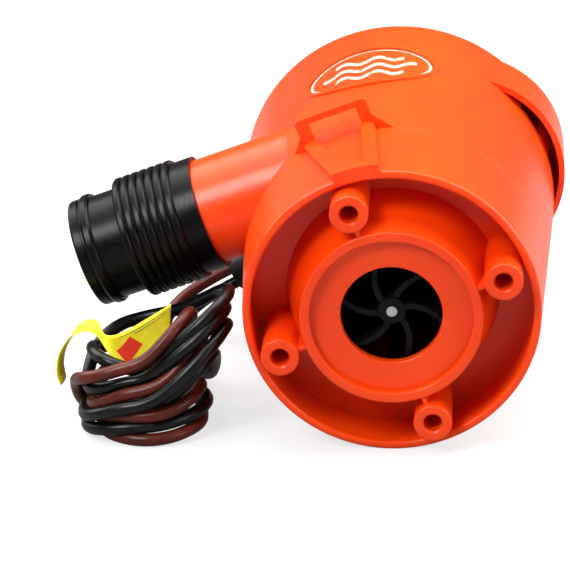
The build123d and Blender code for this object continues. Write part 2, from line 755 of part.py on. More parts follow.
def make_pump_nodes():
    core = make_armature_core()
    nodes = {
        "volute_base": make_volute_base(),
        "pump_body": make_pump_body(),
        "housing_oring": ring(groove_root, volute_bore, groove_start, groove_start + seal_section),
        "eye_plate": make_eye_plate(),
        "impeller": make_impeller(),
        "motor_shaft": disc(shaft_radius, shaft_start, shaft_end),
        "shaft_seal": make_shaft_seal(),
        "motor_cup": make_motor_cup(),
        "cup_oring": ring(face_seal_radius, face_seal_radius + seal_section, shelf_top,
                          shelf_top + seal_depth),
        "cup_screws": make_cup_screws(),
        "motor_can": make_motor_can(),
        "magnet_upper": make_magnet(90),
        "magnet_lower": make_magnet(-90),
        "front_bearing": make_bearing(bearing_start),
        "rear_bearing": make_bearing(rear_bearing_start),
        "armature_core": core,
        "armature_windings": make_armature_windings(core),
        "commutator_sleeve": make_commutator_sleeve(),
        "commutator_segments": make_commutator_segments(),
        "motor_end_cap": make_motor_end_cap(),
        "brush_left": make_brush(1),
        "brush_right": make_brush(-1),
        "brush_arm_left": make_brush_arm(1),
        "brush_arm_right": make_brush_arm(-1),
        "thrust_washers": make_thrust_washers(),
        "motor_cushion": ring(cushion_inner, cushion_outer, cap_top, cup_top - lid_spigot),
        "motor_lid": make_motor_lid(),
        "lid_oring": make_lid_oring(),
        "lead_grommet": make_lead_grommet(),
        "inner_lead_brown": make_inner_lead(1),
        "inner_lead_black": make_inner_lead(-1),
        "cable_gland": make_cable_gland(),
        "head_cap": make_head_cap(),
        "hose_adapter": make_hose_adapter(),
    }
    return {name: STAND * as_compound(shape) for name, shape in nodes.items()}


def as_compound(shape):
    """One shape from a solid or a list of separate solids."""
    if isinstance(shape, (list, tuple)):
        return Compound(list(shape))
    return shape


# ---- supply wires, hank, bare ends and tag: drawn where the pump stands ---------------------
# The wires leave the gland behind the outlet, sink to the ground, run forward under the outlet
# tube and go into the hank, which lies beside the rim. Points are in the finished frame.
brown_route = [(-22.02, 33.59, 16.83), (-30.85, 33.83, 12.14), (-37.3, 28.5, 7.2), (-38.0, 17.0, 2.6),
               (-33.0, 5.5, 1.8), (-27.8, -4.5, 3.6), (-26.0, -14.5, 7.0)]
black_route = [(-20.32, 33.74, 13.67), (-29.2, 33.98, 8.95), (-34.4, 27.0, 4.6), (-34.0, 15.5, 1.8),
               (-28.5, 5.0, 2.0), (-24.0, -5.0, 4.0), (-22.8, -15.5, 7.2)]


def make_wire(name, points):
    radii = corner_radii(points)
    tube, length = tube_along([Vector(*point) for point in points], radii, wire_radius)
    ratio = tube.volume / (math.pi * wire_radius ** 2 * length)
    print(name, "corner radii", [round(radius, 1) for radius in radii],
          "length", round(length, 1), "volume over section times length", round(ratio, 4))
    return tube


def make_hank():
    """Outer shape of the coiled wires: a rounded ring with an open eye, higher where it leans on the pump."""
    ring_outline = Pos(*hank_middle) * RectangleRounded(hank_length, hank_width, hank_corner)
    ring_outline -= Pos(*eye_middle) * SlotOverall(eye_length, eye_width)
    left, right = hank_middle[0] - hank_length, hank_middle[0] + hank_length
    profile = [(left, 0), (left, hank_left_height), (hank_rise[0], hank_left_height),
               (hank_rise[1], hank_right_height), (right, hank_right_height), (right, 0)]
    front, rear = hank_middle[1] - hank_width, hank_middle[1] + hank_width
    return prism(ring_outline, hank_right_height) & plate_in_xz(profile, front, rear)


def make_tag():
    """Paper tag folded over the hank's left side: a leaf in the eye, a bridge and a short outer leaf."""
    inner = plate_in_xz(tag_leaf, tag_face, tag_face + tag_thickness)
    across = (tag_face, tag_face + tag_outer_width)
    outer_face = tag_left - tag_thickness
    bridge_end = tag_leaf[0][0] + tag_overlap
    bridge = block((outer_face, bridge_end), across, (tag_bridge, tag_bridge + tag_thickness))
    outer = block((outer_face, tag_left), across, (tag_outer_low, tag_bridge))
    return inner + bridge + outer


def make_wire_tips():
    """Bare tinned ends of the two wires, out of the back of the hank."""
    return [Pos(x, y - tip_bite, z) * Rot(-90, 0, 0) * disc(bare_strand_radius, 0, bare_length)
            for x, y, z in tip_starts]


def make_cord_nodes():
    return {
        "wire_brown": make_wire("wire_brown", brown_route),
        "wire_black": make_wire("wire_black", black_route),
        "wire_hank": make_hank(),
        "wire_tips": as_compound(make_wire_tips()),
        "wire_tag": make_tag(),
    }


# ---- place everything over the middle of its footprint and write it -------------------------
pump = make_pump_nodes()
spans = [shape.bounding_box() for shape in pump.values()]
middle = Pos(-(min(span.min.X for span in spans) + max(span.max.X for span in spans)) / 2,
             -(min(span.min.Y for span in spans) + max(span.max.Y for span in spans)) / 2,
             -min(span.min.Z for span in spans))
parts = {name: middle * shape for name, shape in pump.items()}
parts.update(make_cord_nodes())
os.makedirs("parts", exist_ok=True)
for name, shape in parts.items():
    export_step(shape, "parts/%s.step" % name)
print("moved by", [round(value, 4) for value in (middle * STAND).position])
print("nodes written:", len(parts))
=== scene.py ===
"""Looks of a small cartridge bilge pump lying on its side, with its hose adapter and supply wires.

Metres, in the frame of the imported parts: Z up, the open rim faces -Y and the outlet points to -X.
"""

import math

import bpy
import numpy as np
from mathutils import Matrix, Vector


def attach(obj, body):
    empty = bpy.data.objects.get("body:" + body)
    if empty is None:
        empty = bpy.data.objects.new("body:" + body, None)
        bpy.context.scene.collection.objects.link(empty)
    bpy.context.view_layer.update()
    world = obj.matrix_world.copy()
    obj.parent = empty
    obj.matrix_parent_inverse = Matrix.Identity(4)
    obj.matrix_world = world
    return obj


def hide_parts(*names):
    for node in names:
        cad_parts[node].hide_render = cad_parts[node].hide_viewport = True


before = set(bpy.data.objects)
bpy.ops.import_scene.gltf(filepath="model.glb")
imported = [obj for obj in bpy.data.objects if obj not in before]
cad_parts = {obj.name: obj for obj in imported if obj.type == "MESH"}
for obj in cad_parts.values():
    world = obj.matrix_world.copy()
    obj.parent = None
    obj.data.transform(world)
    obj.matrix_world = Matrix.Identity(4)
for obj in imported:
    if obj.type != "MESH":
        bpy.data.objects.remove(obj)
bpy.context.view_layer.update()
mm = 0.001

# ---- camera ---------------------------------------------------------------------------------
# A long lens a little above the pump, looking into the open rim and slightly along the outlet.
camera_place = Vector((0.0405, -0.7972, 0.2954))
camera_back = Vector((0.05709, -0.94507, 0.32183))
camera_roll = math.radians(-1.114)
camera_data = bpy.data.cameras.new("camera")
camera_data.lens = 236.8
camera_data.sensor_width = 36.0
camera = bpy.data.objects.new("camera", camera_data)
bpy.context.scene.collection.objects.link(camera)
level = (-camera_back).to_track_quat("-Z", "Y").to_matrix()
turned = level @ Matrix.Rotation(camera_roll, 3, "Z")
camera.matrix_world = Matrix.Translation(camera_place) @ turned.to_4x4()
bpy.context.scene.camera = camera


# ---- housing --------------------------------------------------------------------------------
# Injection-moulded orange plastic in four pieces: lower and upper housing that click together on
# an O-ring, the welded head cap and the eye plate. The plastic is slightly translucent, so hollows
# glow red. It shows flow marks, the parting line, fine scuffs and a printed oval on the head.
class Value:
    """A shader socket that is added, multiplied and compared like a number."""

    def __init__(self, tree, socket):
        self.tree = tree
        self.socket = socket

    def node(self, kind, feeds, output=0, **settings):
        made = self.tree.nodes.new(kind)
        for key, value in settings.items():
            setattr(made, key, value)
        for key, value in feeds.items():
            if isinstance(value, Value):
                self.tree.links.new(value.socket, made.inputs[key])
            else:
                made.inputs[key].default_value = value
        return Value(self.tree, made.outputs[output])

    def math(self, operation, *terms):
        return self.node("ShaderNodeMath", dict(enumerate(terms)), operation=operation)

    def __add__(self, other):
        return self.math("ADD", self, other)

    def __radd__(self, other):
        return self.math("ADD", other, self)

    def __sub__(self, other):
        return self.math("SUBTRACT", self, other)

    def __rsub__(self, other):
        return self.math("SUBTRACT", other, self)

    def __mul__(self, other):
        return self.math("MULTIPLY", self, other)

    def __rmul__(self, other):
        return self.math("MULTIPLY", other, self)

    def __truediv__(self, other):
        return self.math("DIVIDE", self, other)

    def __abs__(self):
        return self.math("ABSOLUTE", self)

    def between(self, start, end):
        """0 at start and before, 1 at end and beyond."""
        return self.node("ShaderNodeMapRange", {"Value": self, "From Min": start, "From Max": end})

    def noise(self, scale, detail=3.0, stretch=(1.0, 1.0, 1.0)):
        """Noise over a place in millimetres, about 0.5 on average."""
        spot = self.node("ShaderNodeVectorMath", {0: self, 1: stretch}, operation="MULTIPLY")
        return self.node("ShaderNodeTexNoise", {"Vector": spot, "Scale": scale, "Detail": detail})

    def mixed(self, first, second):
        """Colour that goes from the first to the second with this value."""
        return self.node("ShaderNodeMix", {0: self, 6: first, 7: second}, 2, data_type="RGBA")

    def bump(self, distance, strength=1.0, under=None):
        """Normal raised by this height, over another one if given."""
        feeds = {"Height": self, "Distance": distance * mm, "Strength": strength}
        if under is not None:
            feeds["Normal"] = under
        return self.node("ShaderNodeBump", feeds)


def start_material(name, **constants):
    """New material, its shader and the place in millimetres that its patterns follow."""
    material = bpy.data.materials.new(name)
    material.use_nodes = True
    tree = material.node_tree
    shader = tree.nodes["Principled BSDF"]
    for key, value in constants.items():
        shader.inputs[key.replace("_", " ")].default_value = value
    coordinates = Value(tree, tree.nodes.new("ShaderNodeTexCoord").outputs["Object"])
    place = coordinates.node("ShaderNodeVectorMath", {0: coordinates, "Scale": 1 / mm}, operation="SCALE")
    return material, shader, place


def finish_material(shader, **feeds):
    """Connects patterns to the shader's sockets."""
    for key, value in feeds.items():
        value.tree.links.new(value.socket, shader.inputs[key.replace("_", " ")])


def dress(material, *nodes):
    """Puts a material on CAD nodes."""
    for node in nodes:
        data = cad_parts[node].data
        data.materials.clear()
        data.materials.append(material)


rim_middle = (17.5528, -41.8105, 31.9572)
shaft_way = (0.0, 0.998663, 0.051695)      # from the rim to the head
shaft_rise = (0.0, -0.051695, 0.998663)    # upwards, square to the shaft
parting_plane = 24.5                       # joint of the two housings, from the rim
weld_plane = 25.6                          # faint line just behind it
label_plane = 61.5
label_angle = math.radians(79.5)           # of the label's middle round the shaft, from -X upwards
label_skin = (20.0, 22.0)                  # print starts this far out from the shaft
head_radius = 35.2
oval_half_length = 14.0
oval_half_height = 9.7
oval_line = (0.030, 0.018)                 # its half width, soft to hard, as a share of the oval
waves = ((-4.2, 8.0), (0.0, 11.0), (4.2, 8.0))     # each one's height and half length
wave_swing = 1.2
wave_pace = 0.80                           # radians per millimetre
wave_line = (0.95, 0.75)                   # half width, soft to hard
print_cover = 0.85


def orange_plastic():
    material, shader, place = start_material(
        "orange_plastic", IOR=1.48, Specular_IOR_Level=0.36, Subsurface_Weight=0.40,
        Subsurface_Radius=(1.0, 0.10, 0.02), Subsurface_Scale=3.0 * mm)
    from_rim = place.node("ShaderNodeVectorMath", {0: place, 1: rim_middle}, operation="SUBTRACT")

    def along(way):
        return place.node("ShaderNodeVectorMath", {0: from_rim, 1: way}, 1, operation="DOT_PRODUCT")

    depth = along(shaft_way)
    sideways = along((1.0, 0.0, 0.0))
    rise = along(shaft_rise)
    out = rise * math.sin(label_angle) - sideways * math.cos(label_angle)
    across = sideways * math.sin(label_angle) + rise * math.cos(label_angle)
    round_head = place.math("ARCTAN2", across, out) * head_radius
    up = depth - label_plane
    outside = out.between(*label_skin)

    # printed mark: an oval line and three waves
    far_round = round_head / oval_half_length
    far_up = up / oval_half_height
    oval = place.math("SQRT", far_round * far_round + far_up * far_up)
    printed = abs(oval - 1.0).between(*oval_line)
    for height, half_length in waves:
        wave = up - height - wave_swing * place.math("SINE", round_head * wave_pace)
        stroke = abs(wave).between(*wave_line) * abs(round_head).between(half_length, half_length - 0.3)
        printed = place.math("MAXIMUM", printed, stroke)
    worn = place.noise(0.9, 4.0).between(0.30, 0.46)
    printed = printed * outside * worn * print_cover

    # flow marks, mottling, grain and scuffs in two directions
    flow = place.noise(0.035, 2.0, (1.0, 0.35, 1.0))
    cloud = place.noise(0.22, 4.0)
    grain = place.noise(9.0, 2.0)
    scuff_a = place.noise(1.1, 5.0, (0.25, 3.0, 1.0)).between(0.66, 0.74)
    scuff_b = place.noise(1.3, 5.0, (2.6, 0.3, 1.4)).between(0.67, 0.75)
    scuffs = place.math("MAXIMUM", scuff_a, scuff_b) * place.noise(0.08, 1.0).between(0.45, 0.65)
    body = flow.between(0.35, 0.65).mixed((0.82, 0.046, 0.0012, 1), (0.90, 0.068, 0.0022, 1))
    body = (cloud.between(0.3, 0.7) * 0.35).mixed(body, (0.86, 0.056, 0.0018, 1))
    body = (scuffs * 0.35).mixed(body, (0.95, 0.20, 0.07, 1))
    body = printed.mixed(body, (0.95, 0.62, 0.50, 1))
    roughness = 0.26 + cloud * 0.10 + scuffs * 0.22 + printed * 0.15
    seam = abs(depth - parting_plane).between(0.22, 0.06)
    weld = abs(depth - weld_plane).between(0.35, 0.15) * outside
    normal = grain.bump(0.004, 0.25)
    normal = cloud.bump(0.05, 0.35, normal)
    normal = (scuffs * -1.0).bump(0.02, 0.5, normal)
    normal = (seam + weld * 0.4).bump(0.10, 0.6, normal)
    normal = printed.bump(0.05, 0.5, normal)
    finish_material(shader, Base_Color=body, Roughness=roughness, Normal=normal)
    return material


dress(orange_plastic(), "pump_body", "volute_base", "head_cap", "eye_plate")


# ---- hose adapter ---------------------------------------------------------------------------
# Black moulded rubber sleeve, pushed over the outlet tube, with ribs for the hose. It has a fine
# matt grain, faint streaks from the mould and patches of pale bloom.
def moulded_rubber(name, low, high, roughness, bloom):
    material, shader, place = start_material(name, IOR=1.5, Specular_IOR_Level=0.16)
    cloud = place.noise(0.25, 4.0)
    grain = place.noise(6.0, 3.0)
    streaks = place.noise(0.8, 3.0, (3.0, 0.3, 0.6))
    dust = place.noise(2.2, 6.0).between(0.60, 0.78) * cloud.between(0.4, 0.7)
    colour = cloud.between(0.3, 0.7).mixed((low, low, low, 1), (high, high, high * 1.03, 1))
    colour = (dust * bloom).mixed(colour, (0.16, 0.155, 0.15, 1))
    shine = roughness + cloud * 0.12 + dust * 0.25 - streaks.between(0.5, 0.8) * 0.08
    normal = grain.bump(0.012, 0.35)
    normal = streaks.bump(0.02, 0.3, normal)
    finish_material(shader, Base_Color=colour, Roughness=shine, Normal=normal)
    return material


dress(moulded_rubber("adapter_rubber", 0.0008, 0.0026, 0.26, 0.10), "hose_adapter")

# ---- seals and rubber bushes ----------------------------------------------------------------
# Nitrile O-rings, the shaft's lip seal, the lid's grommet, the foam cushion and the wire gland:
# black, softly shining where they are greased.
dress(moulded_rubber("seal_rubber", 0.008, 0.016, 0.34, 0.20), "cable_gland", "cup_oring",
      "housing_oring", "lead_grommet", "lid_oring", "motor_cushion", "shaft_seal")

# ---- inner plastic pieces -------------------------------------------------------------------
# Filled black plastic: impeller, motor cup and lid, motor end cap. Duller and greyer than the
# rubber, with the same moulded grain; the impeller's colour is blacker still, painted shade for the dark eye
# it sits behind.
dress(moulded_rubber("black_plastic", 0.010, 0.022, 0.36, 0.10),
      "motor_cup", "motor_end_cap", "motor_lid")
# the impeller is black plastic, and its extra darkness over the other black plastic is painted shade for the
# eye
dress(moulded_rubber("impeller_plastic_painted_shade", 0.0008, 0.0022, 0.50, 0.01), "impeller")


# ---- metal pieces ---------------------------------------------------------------------------
# Turned stainless shaft and screws, zinc-plated motor can, sintered bearings, stacked laminations,
# copper commutator and sprung brass arms. Each has tool marks across its own direction and wear.
def metal(name, colour, roughness, scale, stretch, tarnish):
    material, shader, place = start_material(name, Metallic=1.0)
    marks = place.noise(scale, 4.0, stretch)
    cloud = place.noise(0.4, 4.0)
    stain = place.noise(1.7, 5.0).between(0.56, 0.72)
    dark = tuple(channel * 0.62 for channel in colour)
    tone = cloud.between(0.3, 0.7).mixed((*dark, 1), (*colour, 1))
    tone = (stain * 0.45).mixed(tone, (*tarnish, 1))
    normal = marks.bump(0.006, 0.5)
    normal = cloud.bump(0.02, 0.2, normal)
    shine = roughness + marks * 0.16 + stain * 0.2
    finish_material(shader, Base_Color=tone, Roughness=shine, Normal=normal)
    return material


# name, colour, roughness, scale and stretch of the tool marks, tarnish, nodes
for *look, nodes in (
        ("turned_steel", (0.75, 0.75, 0.76), 0.20, 3.0, (1.0, 12.0, 1.0), (0.35, 0.33, 0.30),
         ("motor_shaft", "cup_screws")),
        ("zinc_steel", (0.62, 0.63, 0.66), 0.30, 1.2, (6.0, 0.3, 6.0), (0.36, 0.37, 0.40),
         ("motor_can",)),
        ("sintered_bronze", (0.60, 0.42, 0.22), 0.42, 7.0, (1.0, 1.0, 1.0), (0.20, 0.12, 0.06),
         ("front_bearing", "rear_bearing")),
        ("laminations", (0.35, 0.36, 0.38), 0.38, 2.0, (0.1, 20.0, 0.1), (0.12, 0.07, 0.05),
         ("armature_core",)),
        ("copper", (0.72, 0.36, 0.18), 0.28, 2.5, (1.0, 9.0, 1.0), (0.25, 0.10, 0.06),
         ("commutator_segments", "armature_windings")),
        ("spring_brass", (0.78, 0.62, 0.30), 0.26, 2.0, (1.0, 0.2, 8.0), (0.38, 0.26, 0.10),
         ("brush_arm_left", "brush_arm_right"))):
    dress(metal(*look), *nodes)


# ---- magnets, brushes and insulators ----------------------------------------------------------
# Pressed and fired ferrite arcs, carbon brushes, a phenolic commutator sleeve and nylon thrust
# washers: dull, slightly speckled by their powder or filler.
def pressed_powder(name, low, high, roughness, speck_scale):
    material, shader, place = start_material(name)
    cloud = place.noise(0.5, 3.0)
    specks = place.noise(speck_scale, 5.0)
    colour = (cloud * 0.5 + specks * 0.5).between(0.35, 0.65).mixed((*low, 1), (*high, 1))
    normal = specks.bump(0.02, 0.4)
    finish_material(shader, Base_Color=colour, Roughness=roughness + specks * 0.2, Normal=normal)
    return material


# name, darkest and lightest colour, roughness, scale of the specks, nodes
for *look, nodes in (
        ("ferrite", (0.05, 0.05, 0.055), (0.11, 0.11, 0.12), 0.50, 5.0, ("magnet_upper", "magnet_lower")),
        ("carbon", (0.025, 0.025, 0.03), (0.07, 0.07, 0.075), 0.42, 9.0, ("brush_left", "brush_right")),
        ("phenolic", (0.20, 0.08, 0.03), (0.36, 0.17, 0.07), 0.35, 4.0, ("commutator_sleeve",)),
        ("nylon", (0.74, 0.71, 0.64), (0.88, 0.86, 0.81), 0.40, 3.0, ("thrust_washers",))):
    dress(pressed_powder(*look), *nodes)


# ---- supply wires ---------------------------------------------------------------------------
# Two stranded copper wires in soft PVC, about half a metre each. They leave the gland behind the
# outlet, run forward on the ground and are wound loosely into a hank that leans on the rim.
wire_thickness = 2.9 * mm
hank_middle = (-37.0, -28.0)
points_in_quarter = 4

# from the gland to the hank, in millimetres
brown_lead = [(-22.02, 33.59, 16.83), (-30.85, 33.83, 12.14), (-37.3, 28.5, 7.2), (-38.0, 17.0, 2.6),
              (-33.0, 5.5, 1.8), (-27.8, -4.5, 3.6)]
black_lead = [(-20.32, 33.74, 13.67), (-29.2, 33.98, 8.95), (-34.4, 27.0, 4.6), (-34.0, 15.5, 1.8),
              (-28.5, 5.0, 2.0), (-24.0, -5.0, 4.0)]
# each turn's reach from the middle and height over the ground, at its right, front, left and rear
brown_turns = [((12.4, 3.0), (11.2, 1.6), (10.2, 1.6), (14.0, 1.6)),
               ((12.6, 10.5), (10.6, 6.0), (12.0, 4.0), (17.5, 4.4)),
               ((12.6, 24.0), (10.4, 13.4), (12.5, 7.0), (16.0, 17.0)),
               ((11.0, 26.5), (7.8, 16.6), (14.0, 12.6))]
black_turns = [((15.5, 19.0), (7.8, 5.4), (10.0, 4.4), (14.5, 4.3)),
               ((12.7, 5.6), (9.4, 3.4), (13.4, 1.6), (18.0, 1.6)),
               ((18.6, 25.0), (10.4, 9.6), (13.2, 4.6), (18.5, 14.0)),
               ((18.0, 29.0), (7.4, 13.6), (12.2, 9.6), (18.0, 19.0)),
               ((19.5, 31.0), (4.4, 14.4), (11.8, 18.0))]
# loose ends that leave the hank at its left, to where the insulation stops
brown_tail = [(-51.4, -25.2, 10.4), (-51.6, -22.4, 6.4), (-51.0, -19.6, 2.8), (-49.9, -17.4, 1.6),
              (-49.5, -15.2, 1.5)]
black_tail = [(-49.9, -24.8, 17.6), (-48.8, -20.4, 16.4), (-46.6, -16.6, 15.0), (-44.9, -13.6, 14.2),
              (-44.5, -11.5, 14.0)]
ends_kept = (6, 2)           # points at each route's start and end that settling leaves alone
settle_rounds = 160
settle_push = 0.28           # share of each overlap that one round takes out
settle_ease = 0.25           # how fast a move spreads to the points beside it
steps_apart = 4              # nearer points of one wire are not held apart
nurbs_blend = (0.125, 0.75, 0.125)       # the spline's place at a control point, from three of them


def eased(start, end, share):
    """Value that leaves start and reaches end without a jump."""
    return start + (end - start) * (1 - math.cos(math.pi * share)) / 2


def winding(turns):
    """Points of loose turns round the hank's middle, from one quarter's reach and height to the next."""
    stations = [station for turn in turns for station in turn]
    points = []
    for index, (start, end) in enumerate(zip(stations, stations[1:])):
        for step in range(points_in_quarter):
            share = step / points_in_quarter
            bearing = math.radians(-90 * (index + share))
            reach = eased(start[0], end[0], share)
            height = eased(start[1], end[1], share)
            points.append((hank_middle[0] + reach * math.cos(bearing),
                           hank_middle[1] + reach * math.sin(bearing), height))
    return points


def settle(routes, clearance):
    """Moves routes apart where they touch and off the ground, leaving their ends where they are."""
    routes = [np.array(route) for route in routes]
    sizes = [len(route) for route in routes]
    places = np.concatenate(routes)
    first = places.copy()
    owner = np.repeat(np.arange(len(routes)), sizes)
    inner = np.concatenate([np.arange(size) for size in sizes])
    before_end = np.repeat(sizes, sizes) - inner
    free = ((inner >= ends_kept[0]) & (before_end > ends_kept[1])).astype(float)[:, None]
    links = [index for index in range(len(places) - 1) if owner[index] == owner[index + 1]]
    weights = np.zeros((len(places) + len(links), len(places)))
    for index in range(len(places)):
        weights[index, index] = 1.0
        if 0 < inner[index] < sizes[owner[index]] - 1:
            weights[index, index - 1:index + 2] = nurbs_blend
    for row, index in enumerate(links, len(places)):
        weights[row, index:index + 2] = 0.5
    sample_owner = np.concatenate([owner, owner[links]])
    sample_step = np.concatenate([inner, inner[links] + 0.5])
    apart = np.abs(sample_step[:, None] - sample_step[None, :]) > steps_apart
    apart |= sample_owner[:, None] != sample_owner[None, :]
    for _ in range(settle_rounds):
        samples = weights @ places
        gap = samples[:, None, :] - samples[None, :, :]
        distance = np.linalg.norm(gap, axis=2) + 1e-6
        push = np.where(apart, np.clip(clearance - distance, 0, None), 0) / distance
        move = weights.T @ (gap * push[:, :, None]).sum(axis=1) * settle_push
        smooth = np.zeros_like(places)
        shift = places - first
        smooth[1:-1] = shift[:-2] / 2 + shift[2:] / 2 - shift[1:-1]
        places = places + free * (move + settle_ease * smooth)
        places[:, 2] = np.maximum(places[:, 2], clearance / 2)
    return np.split(places, np.cumsum(sizes)[:-1])


def wire(name, points):
    """One smooth line through the route, as thick as the insulation."""
    curve = bpy.data.curves.new(name, "CURVE")
    curve.dimensions = "3D"
    spline = curve.splines.new("NURBS")
    spline.points.add(len(points) - 1)
    for point, place in zip(spline.points, points):
        point.co = (place[0] * mm, place[1] * mm, place[2] * mm, 1)
    spline.order_u = 3
    spline.use_endpoint_u = True
    spline.resolution_u = 6
    curve.bevel_depth = wire_thickness / 2
    curve.bevel_resolution = 4
    curve.use_fill_caps = True
    made = bpy.data.objects.new(name, curve)
    bpy.context.scene.collection.objects.link(made)
    return made


def soft_pvc(name, low, high, shine):
    """Extruded insulation: slightly uneven colour, scuffs, dust and a soft sheen."""
    material, shader, place = start_material(name, IOR=1.5, Specular_IOR_Level=0.25, Coat_Roughness=0.35)
    cloud = place.noise(0.18, 4.0)
    fine = place.noise(1.6, 5.0)
    dust = place.noise(3.5, 6.0).between(0.62, 0.80) * cloud.between(0.4, 0.65)
    rubbed = place.noise(0.7, 3.0).between(0.58, 0.75)
    colour = (cloud * 0.7 + fine * 0.3).between(0.35, 0.65).mixed((*low, 1), (*high, 1))
    colour = (rubbed * 0.25).mixed(colour, tuple(0.03 + 1.5 * channel for channel in high) + (1,))
    colour = (dust * 0.25).mixed(colour, (0.22, 0.20, 0.18, 1))
    normal = fine.bump(0.05, 0.35)
    normal = cloud.bump(0.25, 0.25, normal)
    finish_material(shader, Base_Color=colour, Roughness=shine + fine * 0.14 + rubbed * 0.15,
                    Coat_Weight=cloud * 0.12, Normal=normal)
    return material


brown_points, black_points = settle([brown_lead + winding(brown_turns) + brown_tail,
                                     black_lead + winding(black_turns) + black_tail],
                                    wire_thickness / mm)
brown = wire("supply_wire_brown", brown_points)
black = wire("supply_wire_black", black_points)
brown_pvc = soft_pvc("brown_pvc", (0.050, 0.0055, 0.002), (0.115, 0.0135, 0.0055), 0.27)
black_pvc = soft_pvc("black_pvc", (0.0008, 0.0008, 0.0008), (0.0030, 0.0030, 0.0032), 0.25)
brown.data.materials.append(brown_pvc)
black.data.materials.append(black_pvc)
dress(brown_pvc, "inner_lead_brown")
dress(black_pvc, "inner_lead_black")
for made, nodes, slot in ((brown, ("wire_brown", "wire_hank"), "brown_wire"),
                          (black, ("wire_black", "wire_hank"), "black_wire")):
    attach(made, "housing")
    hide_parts(*nodes)


# ---- bare ends ------------------------------------------------------------------------------
# The last 7 mm of both wires, stripped: seven tinned copper strands, six of them twisted round
# the middle one. A node tree turns copies of one straight strand round the wire's own line.
bare_length = 7.0
bare_inset = 0.4             # strands start inside the insulation
strand_count = 6             # round the middle one
strand_radius = 0.27
strand_circle = 0.56
strand_twist = 5.5           # radians over their length
strand_steps = 22
strand_sides = 10


def strands_tree(material):
    tree = bpy.data.node_groups.new("twisted_strands", "GeometryNodeTree")
    tree.interface.new_socket("Geometry", in_out="OUTPUT", socket_type="NodeSocketGeometry")
    for label, kind in (("Start", "NodeSocketVector"), ("Length", "NodeSocketFloat"),
                        ("Twist", "NodeSocketFloat"), ("Strands", "NodeSocketInt")):
        tree.interface.new_socket(label, in_out="INPUT", socket_type=kind)
    given = tree.nodes.new("NodeGroupInput")
    start, length, twist, strands = (Value(tree, given.outputs[k])
                                     for k in ("Start", "Length", "Twist", "Strands"))
    finish = start.node("ShaderNodeVectorMath",
                        {0: start, 1: start.node("ShaderNodeCombineXYZ", {"Y": length})}, operation="ADD")
    line = start.node("GeometryNodeCurvePrimitiveLine", {"Start": start, "End": finish})
    line = start.node("GeometryNodeResampleCurve", {"Curve": line, "Count": strand_steps})
    copies = start.node("GeometryNodeDuplicateElements", {"Geometry": line, "Amount": strands},
                        domain="SPLINE")
    copy_index = Value(tree, copies.socket.node.outputs["Duplicate Index"])
    share = start.node("GeometryNodeSplineParameter", {})
    angle = copy_index / strands * math.tau + share * twist
    ring = start.node("ShaderNodeCombineXYZ", {"X": start.math("COSINE", angle) * (strand_circle * mm),
                                               "Z": start.math("SINE", angle) * (strand_circle * mm)})
    around = start.node("GeometryNodeSetPosition", {"Geometry": copies, "Offset": ring})
    both = tree.nodes.new("GeometryNodeJoinGeometry")
    tree.links.new(around.socket, both.inputs[0])
    tree.links.new(line.socket, both.inputs[0])
    profile = start.node("GeometryNodeCurvePrimitiveCircle",
                         {"Resolution": strand_sides, "Radius": strand_radius * mm})
    mesh = start.node("GeometryNodeCurveToMesh",
                      {"Curve": Value(tree, both.outputs[0]), "Profile Curve": profile, "Fill Caps": True})
    mesh = start.node("GeometryNodeSetShadeSmooth", {"Geometry": mesh})
    mesh = start.node("GeometryNodeRealizeInstances", {"Geometry": mesh})
    mesh = start.node("GeometryNodeSetMaterial", {"Geometry": mesh, "Material": material})
    tree.links.new(mesh.socket, tree.nodes.new("NodeGroupOutput").inputs[0])
    return tree


def grown(name, tree, values):
    """Mesh object made by a node tree with the given inputs; the modifier is taken off again."""
    host = bpy.data.objects.new(name, bpy.data.meshes.new(name + "_host"))
    bpy.context.scene.collection.objects.link(host)
    modifier = host.modifiers.new(name, "NODES")
    modifier.node_group = tree
    for item in tree.interface.items_tree:
        if item.in_out == "INPUT" and item.name in values:
            modifier[item.identifier] = values[item.name]
    bpy.context.view_layer.update()
    shaped = host.evaluated_get(bpy.context.evaluated_depsgraph_get())
    mesh = bpy.data.meshes.new_from_object(shaped)
    host.modifiers.remove(modifier)
    host.data = mesh
    return host


tinned = metal("tinned_copper", (0.72, 0.70, 0.66), 0.26, 4.0, (1.0, 5.0, 1.0), (0.50, 0.30, 0.16))
strands = strands_tree(tinned)
for name, points in (("bare_end_brown", brown_points), ("bare_end_black", black_points)):
    start = (points[-1] - np.array((0, bare_inset, 0))) * mm
    end = grown(name, strands, {"Start": start.tolist(), "Length": (bare_length + bare_inset) * mm,
                                "Twist": strand_twist, "Strands": strand_count})
    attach(end, "housing")
    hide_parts("wire_tips")

# ---- paper tag ------------------------------------------------------------------------------
# A strip of coated yellow paper folded over the hank's left side, with a red diamond and two thin
# ruled lines printed on its front leaf. Its edges curl a little and it waves along its length.
tag_thickness = 0.25
tag_curl = 0.35              # its edges ahead of its middle
tag_wave = 0.12
tag_wave_pace = 2.1          # radians from one station to the next
